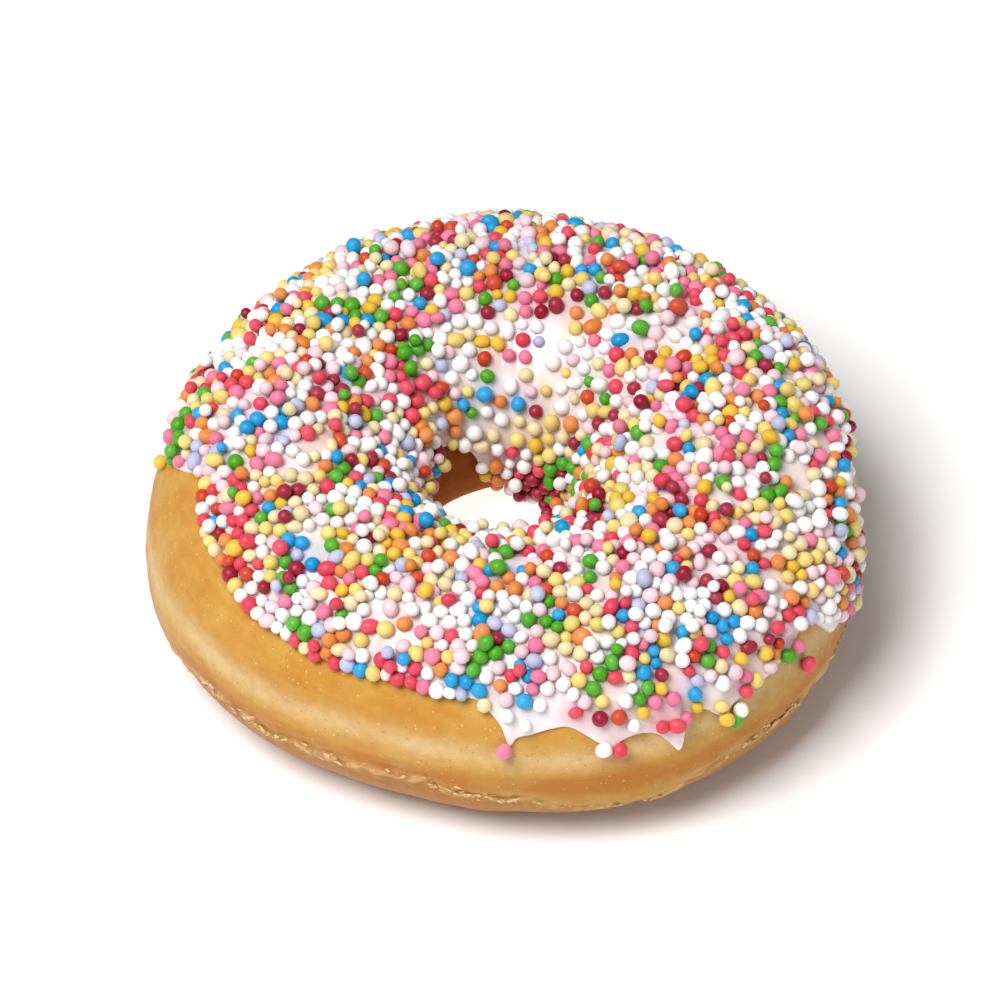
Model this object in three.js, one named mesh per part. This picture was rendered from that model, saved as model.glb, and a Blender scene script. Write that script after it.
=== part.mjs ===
// A ring doughnut with a coat of white icing, in millimetres.
// The doughnut lies flat: +Z is up, its underside is at z = 0 and the origin is the middle of its footprint.
// A direction is an angle round the hole's upright axis, from +X. A slope is an angle round the ring's
// section: 0 on the outer side, 90 on top, 180 on the hole's side and 270 underneath. Both are in degrees.
import * as THREE from "three";

// Dough.
const HOLE_AXIS = [0.81, -0.59]; // x and y: the hole isn't quite in the middle of the uneven outline
const RING_RADIUS = 26.5; // from the hole's axis to the middle of the section
const OUTER_HALF_WIDTH = 16; // from there to the outer side
const INNER_HALF_WIDTH = 16; // and to the hole's side
const WIDEST_HEIGHT = 13.5; // of the widest part of the section above the underside
const TOP_RISE = 15.5; // from there to the top
const UNDERSIDE_DROP = 14.5; // a little more than WIDEST_HEIGHT, so that the underside is cut flat at z = 0
const UNDERSIDE_FULLNESS = 2.4; // 2 is an ellipse, and more is squarer

// The ring is shaped by hand. Each wave has a number of swells round the ring, their size and where they peak.
const OUTLINE_WAVES = [
  { swells: 2, size: 0.65, peak: -52 },
  { swells: 3, size: 1.1, peak: -45 },
  { swells: 4, size: 0.55, peak: 16 },
];
const TOP_WAVES = [
  { swells: 1, size: 0.5, peak: 96 },
  { swells: 2, size: 1.4, peak: -6 },
];

// Two grooves run round the outer side: the proof line, and the crease where the bottom crust starts.
const GROOVES = [
  { slope: 13, width: 7, depth: 0.25 },
  { slope: -10, width: 5, depth: 0.5 },
];

// Icing.
const ICING_THICKNESS = 1.3;
const ICING_RIM_THICKNESS = 0.5;
const ICING_RIM_ROUNDING = 3.5; // the width over which the icing thins towards its rims
const SEAT_GAP = 0.3; // between the dough and the icing

// How far down the icing reaches, as [direction, slope]: on the outer side, where it ends in a few runs,
// and in the hole, where one side is coated down to the underside.
const OUTER_RIM = [
  [8, 22], [22, 25], [45, 28], [70, 23], [95, 27], [120, 22], [145, 27], [164, 29], [176, 37],
  [188, 58], [200, 52], [213, 46], [228, 41], [246, 43], [260, 43], [265, 33], [269, 25],
  [276, 30], [283, 19], [289, 21], [293, 9], [297, 20], [301, 12], [308, 18], [319, 23],
  [328, 5], [336, 3], [343, 16], [353, 26],
];
const HOLE_RIM = [
  [5, 196], [28, 203], [52, 207], [75, 211], [90, 209], [99, 200], [107, 186], [115, 174],
  [130, 166], [147, 169], [168, 171], [192, 174], [225, 170], [260, 178], [300, 174], [335, 186],
];

// Fineness of the faces.
const DOUGH_DIRECTIONS = 78;
const DOUGH_SLOPES = 28;
const SLOPE_CROWDING = 22; // degrees by which the slopes crowd towards the outer side, where the grooves are
const ICING_DIRECTIONS = 108;
const ICING_TOP_STEPS = 10;
const ICING_SEAT_STEPS = 14;

const { degToRad } = THREE.MathUtils;
const cosine = (degrees) => Math.cos(degToRad(degrees));
const sine = (degrees) => Math.sin(degToRad(degrees));

// The sum of some waves in a direction.
function waveHeight(waves, direction) {
  return waves.reduce((sum, w) => sum + w.size * cosine(w.swells * (direction - w.peak)), 0);
}

// How deep some grooves are at a slope.
function grooveDepth(grooves, slope) {
  const signed = ((slope + 180) % 360) - 180;
  return grooves.reduce((sum, g) => sum + g.depth * Math.exp(-(((signed - g.slope) / g.width) ** 2)), 0);
}

// A point of the dough's surface. The icing lies on the surface without grooves, so it bridges them.
function doughPoint(direction, slope, grooves = []) {
  const out = cosine(slope);
  const up = sine(slope);
  const halfWidth = out > 0 ? OUTER_HALF_WIDTH : INNER_HALF_WIDTH;
  const outward = (1 + out) / 2;
  const reach = halfWidth * out + outward * waveHeight(OUTLINE_WAVES, direction);
  const radius = RING_RADIUS + reach - grooveDepth(grooves, slope);
  const height =
    up > 0
      ? WIDEST_HEIGHT + (TOP_RISE + waveHeight(TOP_WAVES, direction)) * up
      : WIDEST_HEIGHT - UNDERSIDE_DROP * Math.abs(up) ** (2 / UNDERSIDE_FULLNESS);
  return new THREE.Vector3(radius * cosine(direction), radius * sine(direction), Math.max(height, 0));
}

// The way in which the dough's surface faces there.
function doughNormal(direction, slope) {
  const step = 0.5;
  const around = doughPoint(direction + step, slope).sub(doughPoint(direction - step, slope));
  const over = doughPoint(direction, slope + step).sub(doughPoint(direction, slope - step));
  return around.cross(over).normalize();
}

// A point at a height above the dough's surface.
function abovePoint(direction, slope, height) {
  return doughPoint(direction, slope).addScaledVector(doughNormal(direction, slope), height);
}

// The slope of a rim in a direction, on a smooth closed curve through its points.
function rimSlope(rim, direction) {
  const count = rim.length;
  const first = rim[0][0];
  const turned = first + ((((direction - first) % 360) + 360) % 360);
  let i = count - 1;
  while (rim[i][0] > turned) i--;
  const knot = (k) => {
    const wrapped = (k + count) % count;
    return [rim[wrapped][0] + 360 * Math.floor(k / count), rim[wrapped][1]];
  };
  const [before, start, end, after] = [knot(i - 1), knot(i), knot(i + 1), knot(i + 2)];
  const span = end[0] - start[0];
  const t = (turned - start[0]) / span;
  const leave = ((end[1] - before[1]) / (end[0] - before[0])) * span;
  const arrive = ((after[1] - start[1]) / (after[0] - start[0])) * span;
  const rise = end[1] - start[1];
  return start[1] + t * (leave + t * (3 * rise - 2 * leave - arrive + t * (leave + arrive - 2 * rise)));
}

// One section of the icing: over its top from the outer rim to the hole's rim, and back along its seat.
function icingSection(direction) {
  const outer = rimSlope(OUTER_RIM, direction);
  const hole = rimSlope(HOLE_RIM, direction);
  const width = degToRad(hole - outer) * OUTER_HALF_WIDTH;
  const points = [];
  for (let i = 0; i <= ICING_TOP_STEPS; i++) {
    const share = (1 - Math.cos((Math.PI * i) / ICING_TOP_STEPS)) / 2;
    const fromRim = width * Math.min(share, 1 - share);
    const inwards = Math.min(1, fromRim / ICING_RIM_ROUNDING);
    const swell = Math.sqrt(1 - (1 - inwards) ** 2);
    const thickness = ICING_RIM_THICKNESS + (ICING_THICKNESS - ICING_RIM_THICKNESS) * swell;
    points.push(abovePoint(direction, outer + (hole - outer) * share, SEAT_GAP + thickness));
  }
  for (let i = ICING_SEAT_STEPS; i >= 0; i--) {
    points.push(abovePoint(direction, outer + ((hole - outer) * i) / ICING_SEAT_STEPS, SEAT_GAP));
  }
  return points;
}

// One section of the dough, all the way round.
function doughSection(direction) {
  const points = [];
  for (let i = 0; i < DOUGH_SLOPES; i++) {
    const even = (360 * i) / DOUGH_SLOPES;
    points.push(doughPoint(direction, even - SLOPE_CROWDING * sine(even), GROOVES));
  }
  return points;
}

// A closed ring through sections taken at even directions. Each section is a loop of the same number of points.
function ringGeometry(sectionAt, directions) {
  const sections = Array.from({ length: directions }, (_, i) => sectionAt((360 * i) / directions));
  const loop = sections[0].length;
  const corner = (i, j) => (i % directions) * loop + (j % loop);
  const indices = [];
  for (let i = 0; i < directions; i++) {
    for (let j = 0; j < loop; j++) {
      indices.push(corner(i, j), corner(i + 1, j), corner(i + 1, j + 1));
      indices.push(corner(i, j), corner(i + 1, j + 1), corner(i, j + 1));
    }
  }
  const geometry = new THREE.BufferGeometry().setFromPoints(sections.flat()).setIndex(indices);
  geometry.computeVertexNormals();
  return geometry;
}

function piece(name, geometry, color, roughness) {
  const mesh = new THREE.Mesh(geometry, new THREE.MeshStandardMaterial({ color, roughness, metalness: 0 }));
  mesh.name = name;
  return mesh;
}

const doughnut = new THREE.Group();
doughnut.name = "sprinkle_frosted_doughnut";
doughnut.position.set(...HOLE_AXIS, 0);
doughnut.add(piece("dough_ring", ringGeometry(doughSection, DOUGH_DIRECTIONS), 0xc98f48, 0.6));
doughnut.add(piece("icing", ringGeometry(icingSection, ICING_DIRECTIONS), 0xf3e9e8, 0.3));

export default doughnut;
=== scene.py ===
"""The looks of a sprinkle frosted doughnut: fried dough, white icing and small sugar balls.

Lengths are in millimetres, and are turned into metres where a mesh is made. The doughnut lies flat: +Z is up.
A direction is an angle round the hole's upright axis, from +X. A slope is an angle round the ring's section:
0 on the outer side, 90 on top, 180 on the hole's side and 270 underneath. Both are in degrees.
"""

import logging
import math
from dataclasses import dataclass, field
from enum import Enum

import bpy
import numpy as np
from mathutils import Matrix, Vector, kdtree, noise


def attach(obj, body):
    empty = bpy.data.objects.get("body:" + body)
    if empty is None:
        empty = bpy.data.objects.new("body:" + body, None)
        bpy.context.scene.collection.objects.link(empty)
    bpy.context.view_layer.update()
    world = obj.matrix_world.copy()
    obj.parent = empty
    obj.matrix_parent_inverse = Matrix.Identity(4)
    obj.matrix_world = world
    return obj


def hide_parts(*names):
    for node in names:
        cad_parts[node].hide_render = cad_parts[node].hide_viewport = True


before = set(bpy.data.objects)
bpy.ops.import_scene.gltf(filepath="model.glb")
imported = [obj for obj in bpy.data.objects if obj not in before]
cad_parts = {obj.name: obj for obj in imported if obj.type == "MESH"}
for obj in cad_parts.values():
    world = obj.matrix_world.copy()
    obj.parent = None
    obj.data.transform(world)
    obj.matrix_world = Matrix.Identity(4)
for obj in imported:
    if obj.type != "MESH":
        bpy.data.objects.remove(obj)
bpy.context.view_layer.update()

MM = 0.001
BODY = "root"
log = logging.getLogger("doughnut")


# ---------------------------------------------------------------- form


@dataclass(frozen=True)
class Wave:
    """A swell that repeats round the ring."""

    swells: int
    size: float
    peak: float

    def height(self, direction: np.ndarray) -> np.ndarray:
        """How far the wave stands out in each direction."""
        return self.size * np.cos(np.radians(self.swells * (direction - self.peak)))


@dataclass(frozen=True)
class RingForm:
    """The uneven ring that the dough fills and the icing follows."""

    hole_axis: tuple[float, float] = (0.81, -0.59)
    ring_radius: float = 26.5
    outer_half_width: float = 16.0
    inner_half_width: float = 16.0
    widest_height: float = 13.5
    top_rise: float = 15.5
    underside_drop: float = 14.5
    underside_fullness: float = 2.4
    outline_waves: tuple[Wave, ...] = (Wave(2, 0.65, -52), Wave(3, 1.1, -45), Wave(4, 0.55, 16))
    top_waves: tuple[Wave, ...] = (Wave(1, 0.5, 96), Wave(2, 1.4, -6))
    lump_size: float = 0.3
    lump_spacing: float = 13.0

    def point(self, direction: np.ndarray, slope: np.ndarray) -> np.ndarray:
        """Points of the ring's smooth surface.

        Args:
            direction: angles round the hole's axis.
            slope: angles round the section.

        Returns:
            The points, with x, y and z on the last axis.
        """
        out = np.cos(np.radians(slope))
        up = np.sin(np.radians(slope))
        half_width = np.where(out > 0, self.outer_half_width, self.inner_half_width)
        outline = sum(w.height(direction) for w in self.outline_waves)
        radius = self.ring_radius + half_width * out + (1 + out) / 2 * outline
        rise = self.top_rise + sum(w.height(direction) for w in self.top_waves)
        drop = self.underside_drop * np.abs(up) ** (2 / self.underside_fullness)
        height = self.widest_height + np.where(up > 0, rise * up, -drop)
        x = self.hole_axis[0] + radius * np.cos(np.radians(direction))
        y = self.hole_axis[1] + radius * np.sin(np.radians(direction))
        return np.stack((x, y, np.maximum(height, 0)), -1)

    def tangents(self, direction: np.ndarray, slope: np.ndarray) -> tuple[np.ndarray, np.ndarray]:
        """How the surface moves for each degree of direction and of slope.

        Args:
            direction: angles round the hole's axis.
            slope: angles round the section.

        Returns:
            The move for each degree of direction, and for each degree of slope.
        """
        step = 0.5
        around = self.point(direction + step, slope) - self.point(direction - step, slope)
        over = self.point(direction, slope + step) - self.point(direction, slope - step)
        return around, over

    def normal(self, direction: np.ndarray, slope: np.ndarray) -> np.ndarray:
        """Which way the surface faces."""
        across = np.cross(*self.tangents(direction, slope))
        return across / np.linalg.norm(across, axis=-1, keepdims=True)

    def lumps(self, points: np.ndarray) -> np.ndarray:
        """The soft lumps of the dough, which the icing follows too."""
        lifted = np.clip(points[..., 2] / 3, 0, 1)
        return self.lump_size * noise_at(points, self.lump_spacing, 3.1) * lifted

    def above(self, direction: np.ndarray, slope: np.ndarray, height: np.ndarray | float) -> np.ndarray:
        """Points at a height above the lumpy surface.

        Args:
            direction: angles round the hole's axis.
            slope: angles round the section.
            height: how high above the surface.

        Returns:
            The points, with x, y and z on the last axis.
        """
        base = self.point(direction, slope)
        reach = self.lumps(base) + height
        return base + self.normal(direction, slope) * reach[..., None]


@dataclass(frozen=True)
class Rim:
    """A closed smooth curve that gives a slope for each direction."""

    knots: tuple[tuple[float, float], ...]

    def slope(self, direction: np.ndarray) -> np.ndarray:
        """The rim's slope in each direction.

        Args:
            direction: angles round the hole's axis.

        Returns:
            A slope for each direction, on a cubic curve through the knots.
        """
        turn = np.array(self.knots)[:, 0]
        height = np.array(self.knots)[:, 1]
        turn = np.concatenate((turn[-2:] - 360, turn, turn[:3] + 360))
        height = np.concatenate((height[-2:], height, height[:3]))
        wrapped = turn[2] + (direction - turn[2]) % 360
        i = np.searchsorted(turn, wrapped, side="right") - 1
        span = turn[i + 1] - turn[i]
        t = (wrapped - turn[i]) / span
        leave = (height[i + 1] - height[i - 1]) / (turn[i + 1] - turn[i - 1]) * span
        arrive = (height[i + 2] - height[i]) / (turn[i + 2] - turn[i]) * span
        rise = height[i + 1] - height[i]
        return height[i] + t * (leave + t * (3 * rise - 2 * leave - arrive + t * (leave + arrive - 2 * rise)))


# ---------------------------------------------------------------- mesh helpers


def noise_at(points: np.ndarray, spacing: float, seed: float) -> np.ndarray:
    """Smooth noise of about -1 to 1 at some points.

    Args:
        points: places, with x, y and z on the last axis.
        spacing: the distance between swells.
        seed: any number, to tell one noise from another.

    Returns:
        The noise at each point.
    """
    places = points.reshape(-1, 3) / spacing + seed * 17.31
    return np.array([noise.noise(Vector(p)) for p in places]).reshape(points.shape[:-1])


def bell(value: np.ndarray, middle: float | np.ndarray, width: float) -> np.ndarray:
    """1 at the middle, falling smoothly to 0 a few widths away."""
    return np.exp(-(((value - middle) / width) ** 2))


def smooth_step(value: np.ndarray, low: float, high: float) -> np.ndarray:
    """0 below low, 1 above high and a smooth rise between."""
    t = np.clip((value - low) / (high - low), 0, 1)
    return t * t * (3 - 2 * t)


def ring_quads(directions: int, loop: int) -> np.ndarray:
    """The faces of a closed ring through sections of the same number of points.

    Args:
        directions: how many sections there are.
        loop: how many points each section has.

    Returns:
        Four point numbers for each face.
    """
    i, j = np.meshgrid(np.arange(directions), np.arange(loop), indexing="ij")
    here, ahead = i * loop, (i + 1) % directions * loop
    above = (j + 1) % loop
    return np.stack((here + j, ahead + j, ahead + above, here + above), -1).reshape(-1, 4)


def quad_piece(name: str, points: np.ndarray, quads: np.ndarray) -> bpy.types.Object:
    """A smooth-shaded object made of quads.

    Args:
        name: the object's name.
        points: the corners, in millimetres.
        quads: four corner numbers for each face.

    Returns:
        The new object, linked to the scene.
    """
    mesh = bpy.data.meshes.new(name)
    mesh.from_pydata((points.reshape(-1, 3) * MM).tolist(), [], quads.tolist())
    mesh.shade_smooth()
    piece = bpy.data.objects.new(name, mesh)
    bpy.context.scene.collection.objects.link(piece)
    return piece


def store_value(piece: bpy.types.Object, name: str, values: np.ndarray) -> None:
    """Keeps a number for each corner point, for the material to read.

    Args:
        piece: the object.
        name: the name by which the material asks for it.
        values: one number for each point.
    """
    made = piece.data.attributes.new(name, "FLOAT", "POINT")
    made.data.foreach_set("value", values.ravel().astype(np.float32))


def store_colour(piece: bpy.types.Object, name: str, colours: np.ndarray) -> None:
    """Keeps a colour for each corner point, for the material to read.

    Args:
        piece: the object.
        name: the name by which the material asks for it.
        colours: red, green and blue for each point.
    """
    made = piece.data.attributes.new(name, "FLOAT_COLOR", "POINT")
    full = np.concatenate((colours, np.ones((len(colours), 1))), -1)
    made.data.foreach_set("color", full.ravel().astype(np.float32))


# ---------------------------------------------------------------- material helpers


class Graph:
    """A short way to write a node tree."""

    def __init__(self, tree: bpy.types.NodeTree) -> None:
        """Starts from an existing tree."""
        self.tree = tree

    def node(self, kind: str, **settings: object) -> bpy.types.Node:
        """A new node with some settings.

        Args:
            kind: the node's type.
            settings: the node's own options.

        Returns:
            The node.
        """
        made = self.tree.nodes.new(kind)
        for name, value in settings.items():
            setattr(made, name, value)
        return made

    def feed(self, socket: bpy.types.NodeSocket, source: object) -> None:
        """Links a socket to an output, or sets it to a plain value.

        Args:
            socket: the input to feed.
            source: an output socket or a plain value.
        """
        if isinstance(source, bpy.types.NodeSocket):
            self.tree.links.new(source, socket)
        else:
            socket.default_value = source

    def attribute(self, name: str, output: str = "Fac") -> bpy.types.NodeSocket:
        """A value kept on the mesh."""
        return self.node("ShaderNodeAttribute", attribute_name=name).outputs[output]

    def math(self, operation: str, first: object, second: object = 0.0) -> bpy.types.NodeSocket:
        """A sum done on two values.

        Args:
            operation: the kind of sum.
            first: an output socket or a number.
            second: an output socket or a number.

        Returns:
            The output with the result.
        """
        made = self.node("ShaderNodeMath", operation=operation)
        self.feed(made.inputs[0], first)
        self.feed(made.inputs[1], second)
        return made.outputs[0]

    def mix(self, factor: object, first: object, second: object, blend: str = "MIX") -> bpy.types.NodeSocket:
        """A blend of two colours.

        Args:
            factor: how much of the second colour there is.
            first: an output socket or a colour.
            second: an output socket or a colour.
            blend: how the second colour is laid on the first.

        Returns:
            The output with the colour.
        """
        made = self.node("ShaderNodeMix", data_type="RGBA", blend_type=blend)
        self.feed(made.inputs["Factor"], factor)
        self.feed(made.inputs[6], first)
        self.feed(made.inputs[7], second)
        return made.outputs[2]

    def spread(
        self, value: object, low: float, high: float, to_low: float, to_high: float
    ) -> bpy.types.NodeSocket:
        """A value moved from one range to another, and kept inside it.

        Args:
            value: an output socket or a number.
            low: the value that becomes to_low.
            high: the value that becomes to_high.
            to_low: the result for low and anything below it.
            to_high: the result for high and anything above it.

        Returns:
            The output with the result.
        """
        made = self.node("ShaderNodeMapRange")
        for socket, source in zip(made.inputs[:5], (value, low, high, to_low, to_high)):
            self.feed(socket, source)
        return made.outputs[0]

    def group(self, tree: bpy.types.NodeTree, **values: object) -> bpy.types.Node:
        """A node group with its inputs fed by name, with _ for a space.

        Args:
            tree: the group.
            values: what to feed to each input.

        Returns:
            The group's node.
        """
        made = self.node("ShaderNodeGroup", node_tree=tree)
        for name, value in values.items():
            self.feed(made.inputs[name.replace("_", " ")], value)
        return made

    def bump(self, height: object, distance: float, strength: float = 1.0) -> bpy.types.NodeSocket:
        """A normal roughened by a height.

        Args:
            height: an output socket or a number.
            distance: how high a height of 1 stands, in metres.
            strength: how strongly it shows.

        Returns:
            The output with the normal.
        """
        made = self.node("ShaderNodeBump")
        self.feed(made.inputs["Height"], height)
        self.feed(made.inputs["Distance"], distance)
        self.feed(made.inputs["Strength"], strength)
        return made.outputs[0]


def new_group(name: str, inputs: dict[str, float], outputs: tuple[str, ...]) -> tuple[Graph, object, object]:
    """A node group with number sockets.

    Args:
        name: the group's name.
        inputs: each input's name and usual value.
        outputs: the outputs' names.

    Returns:
        The group's graph, its inputs and its outputs.
    """
    tree = bpy.data.node_groups.new(name, "ShaderNodeTree")
    for label, usual in inputs.items():
        socket = tree.interface.new_socket(label, in_out="INPUT", socket_type="NodeSocketFloat")
        socket.default_value = usual
    for label in outputs:
        tree.interface.new_socket(label, in_out="OUTPUT", socket_type="NodeSocketFloat")
    graph = Graph(tree)
    return graph, graph.node("NodeGroupInput").outputs, graph.node("NodeGroupOutput").inputs


def mottling_group() -> bpy.types.NodeTree:
    """Cloudy patches at two sizes, as a value from 0 to 1 and a height.

    Returns:
        The group, with the inputs Scale and Contrast and the outputs Value and Height.
    """
    graph, given, made = new_group("mottling", {"Scale": 100.0, "Contrast": 1.0}, ("Value", "Height"))
    place = graph.node("ShaderNodeTexCoord").outputs["Object"]
    coarse = graph.node("ShaderNodeTexNoise")
    graph.feed(coarse.inputs["Vector"], place)
    graph.feed(coarse.inputs["Scale"], given["Scale"])
    graph.feed(coarse.inputs["Detail"], 3.0)
    fine = graph.node("ShaderNodeTexNoise")
    graph.feed(fine.inputs["Vector"], place)
    graph.feed(fine.inputs["Scale"], graph.math("MULTIPLY", given["Scale"], 4.7))
    graph.feed(fine.inputs["Detail"], 2.0)
    both = graph.math("MULTIPLY", coarse.outputs["Fac"], 0.7)
    both = graph.math("ADD", both, graph.math("MULTIPLY", fine.outputs["Fac"], 0.3))
    centred = graph.math("MULTIPLY", graph.math("SUBTRACT", both, 0.5), given["Contrast"])
    value = graph.node("ShaderNodeClamp")
    graph.feed(value.inputs["Value"], graph.math("ADD", centred, 0.5))
    graph.feed(made["Value"], value.outputs[0])
    graph.feed(made["Height"], both)
    return graph.tree


def speckle_group() -> bpy.types.NodeTree:
    """Scattered small spots, as a mask from 0 to 1.

    Returns:
        The group, with the inputs Scale, Size and Share and the output Mask.
    """
    graph, given, made = new_group("speckles", {"Scale": 900.0, "Size": 0.2, "Share": 0.5}, ("Mask",))
    place = graph.node("ShaderNodeTexCoord").outputs["Object"]
    cells = graph.node("ShaderNodeTexVoronoi")
    graph.feed(cells.inputs["Vector"], place)
    graph.feed(cells.inputs["Scale"], given["Scale"])
    near = graph.math("LESS_THAN", cells.outputs["Distance"], given["Size"])
    tone = graph.node("ShaderNodeSeparateColor")
    graph.feed(tone.inputs[0], cells.outputs["Color"])
    chosen = graph.math("LESS_THAN", tone.outputs[0], given["Share"])
    graph.feed(made["Mask"], graph.math("MULTIPLY", near, chosen))
    return graph.tree


def new_material(name: str) -> tuple[bpy.types.Material, Graph, bpy.types.Node]:
    """A new material.

    Args:
        name: the material's name.

    Returns:
        The material, its graph and its Principled shader.
    """
    material = bpy.data.materials.new(name)
    material.use_nodes = True
    return material, Graph(material.node_tree), material.node_tree.nodes["Principled BSDF"]


# ---------------------------------------------------------------- finishes


@dataclass(frozen=True)
class FriedDough:
    """Golden fried dough, paler along the proof line and browner underneath, with painted shade in the hole,
    in tiny pores and just below the icing, painted glints, and a proof line whose paleness also stands in for
    a painted sheen. The colours are linear.
    """

    golden: tuple[float, float, float, float] = (0.53, 0.30, 0.060, 1)
    brown: tuple[float, float, float, float] = (0.46, 0.165, 0.018, 1)
    # pale: the proof line's own colour, which also stands in for a painted sheen along the ridge.
    pale: tuple[float, float, float, float] = (0.66, 0.47, 0.23, 1)
    torn: tuple[float, float, float, float] = (0.72, 0.50, 0.25, 1)
    crust: tuple[float, float, float, float] = (0.36, 0.125, 0.012, 1)
    # Painted shade: the colour that darkens the hole's side, standing for the shade inside the hole.
    hole_shade: tuple[float, float, float, float] = (0.24, 0.062, 0.002, 1)
    grain: tuple[float, float, float, float] = (0.36, 0.17, 0.03, 1)
    # Painted shade: the colour of dark specks that stand for the shade in tiny pores.
    pore_shade: tuple[float, float, float, float] = (0.24, 0.09, 0.015, 1)
    # Painted highlights: the colour of tiny pale glints laid into the dough's colour.
    painted_glint: tuple[float, float, float, float] = (0.85, 0.66, 0.38, 1)

    def material(self, mottling: bpy.types.NodeTree, speckles: bpy.types.NodeTree) -> bpy.types.Material:
        """The dough's material.

        Args:
            mottling: the group of cloudy patches.
            speckles: the group of small spots.

        Returns:
            The material, which reads the masks that the dough's mesh keeps.
        """
        material, graph, shader = new_material("fried_dough")
        patches = graph.group(mottling, Scale=130.0, Contrast=3.0)
        grain = graph.group(mottling, Scale=800.0, Contrast=2.6)
        unevenness = graph.spread(patches.outputs[0], 0, 1, -0.38, 0.38)
        # The browning mask holds real browning and also painted shade just below the icing's edge.
        browning_and_icing_shade = graph.math("ADD", graph.attribute("browning_and_icing_shade"), unevenness)
        clamped = graph.node("ShaderNodeClamp")
        graph.feed(clamped.inputs["Value"], browning_and_icing_shade)
        colour = graph.mix(clamped.outputs[0], self.golden, self.brown)
        # The pale proof line, whose paleness also stands in for a painted sheen along the ridge.
        colour = graph.mix(graph.attribute("proof_line_and_sheen"), colour, self.pale)
        colour = graph.mix(graph.attribute("crust"), colour, self.crust)
        crumbs = graph.spread(grain.outputs[0], 0.25, 0.7, 0.25, 1)
        rags = graph.math("MULTIPLY", graph.attribute("torn"), crumbs)
        colour = graph.mix(rags, colour, self.torn)
        colour = graph.mix(graph.spread(grain.outputs[0], 0, 1, 0.0, 0.34), colour, self.grain)
        # Painted shade: scattered dark specks for the shade in tiny pores, with no hollow under them.
        pore_shade_spots = graph.group(speckles, Scale=1500.0, Size=0.2, Share=0.20)
        colour = graph.mix(graph.math("MULTIPLY", pore_shade_spots.outputs[0], 0.4), colour, self.pore_shade)
        # Painted highlights: scattered tiny pale glints.
        painted_glints = graph.group(speckles, Scale=1900.0, Size=0.2, Share=0.16)
        colour = graph.mix(graph.math("MULTIPLY", painted_glints.outputs[0], 0.35), colour, self.painted_glint)
        # Painted shade: the hole's side is coloured darker, for the shade inside the hole.
        colour = graph.mix(graph.attribute("painted_hole_shade"), colour, self.hole_shade)
        graph.feed(shader.inputs["Base Color"], colour)
        roughness = graph.spread(patches.outputs[0], 0, 1, 0.38, 0.55)
        # The same mask of painted hole shade also makes the hole's side rougher.
        dull = graph.math("MULTIPLY", graph.attribute("painted_hole_shade"), 0.5)
        graph.feed(shader.inputs["Roughness"], graph.math("ADD", roughness, dull))
        swells = graph.math("MULTIPLY", patches.outputs["Height"], 1.5)
        height = graph.math("ADD", grain.outputs["Height"], swells)
        graph.feed(shader.inputs["Normal"], graph.bump(height, 0.25 * MM, 0.7))
        shader.inputs["Subsurface Weight"].default_value = 0.25
        shader.inputs["Subsurface Radius"].default_value = (1.0, 0.45, 0.18)
        shader.inputs["Subsurface Scale"].default_value = 1.6 * MM
        shader.inputs["Specular IOR Level"].default_value = 0.14
        return material


@dataclass(frozen=True)
class WhiteIcing:
    """Thin glossy sugar icing, faintly pink, tinted by the balls that it holds."""

    body: tuple[float, float, float, float] = (0.82, 0.74, 0.755, 1)
    cloud: tuple[float, float, float, float] = (0.74, 0.65, 0.67, 1)
    tint_strength: float = 0.5

    def material(self, mottling: bpy.types.NodeTree) -> bpy.types.Material:
        """The icing's material.

        Args:
            mottling: the group of cloudy patches.

        Returns:
            The material, which reads the tint that the icing's mesh keeps.
        """
        material, graph, shader = new_material("white_icing")
        clouds = graph.group(mottling, Scale=160.0, Contrast=1.5)
        body = graph.mix(graph.spread(clouds.outputs[0], 0, 1, 0.0, 0.25), self.body, self.cloud)
        colour = graph.mix(self.tint_strength, body, graph.attribute("tint", "Color"), "MULTIPLY")
        graph.feed(shader.inputs["Base Color"], colour)
        graph.feed(shader.inputs["Roughness"], graph.spread(clouds.outputs[0], 0, 1, 0.18, 0.34))
        graph.feed(shader.inputs["Normal"], graph.bump(clouds.outputs["Height"], 0.3 * MM, 0.35))
        shader.inputs["Subsurface Weight"].default_value = 0.6
        shader.inputs["Subsurface Radius"].default_value = (1.0, 0.8, 0.75)
        shader.inputs["Subsurface Scale"].default_value = 1.2 * MM
        return material


class SugarColour(Enum):
    """The colours of the sugar balls, each with its linear colour and its share of them."""

    WHITE = ("white", (0.86, 0.84, 0.83), 29)
    CREAM = ("cream", (0.77, 0.64, 0.37), 10)
    PALE_YELLOW = ("pale_yellow", (0.77, 0.59, 0.17), 8)
    YELLOW = ("yellow", (0.75, 0.46, 0.03), 4)
    ORANGE = ("orange", (0.71, 0.23, 0.045), 7)
    RED = ("red", (0.55, 0.045, 0.006), 3)
    CORAL = ("coral", (0.70, 0.05, 0.09), 7)
    CRIMSON = ("crimson", (0.32, 0.003, 0.03), 4)
    PINK = ("pink", (0.77, 0.19, 0.31), 7)
    PALE_PINK = ("pale_pink", (0.82, 0.58, 0.63), 9)
    GREEN = ("green", (0.075, 0.36, 0.008), 6)
    BLUE = ("blue", (0.0, 0.30, 0.63), 5)
    LAVENDER = ("lavender", (0.46, 0.48, 0.67), 3)

    def __init__(self, label: str, colour: tuple[float, float, float], share: float) -> None:
        """Keeps the colour's own facts.

        Args:
            label: the colour's name.
            colour: the linear colour.
            share: its share of the balls.
        """
        self.label = label
        self.colour = colour
        self.share = share

    @property
    def slot(self) -> str:
        """A slot name built from the label, with cream's name given for pale yellow."""
        return "sprinkle_cream" if self.label == "pale_yellow" else f"sprinkle_{self.label}"


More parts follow.
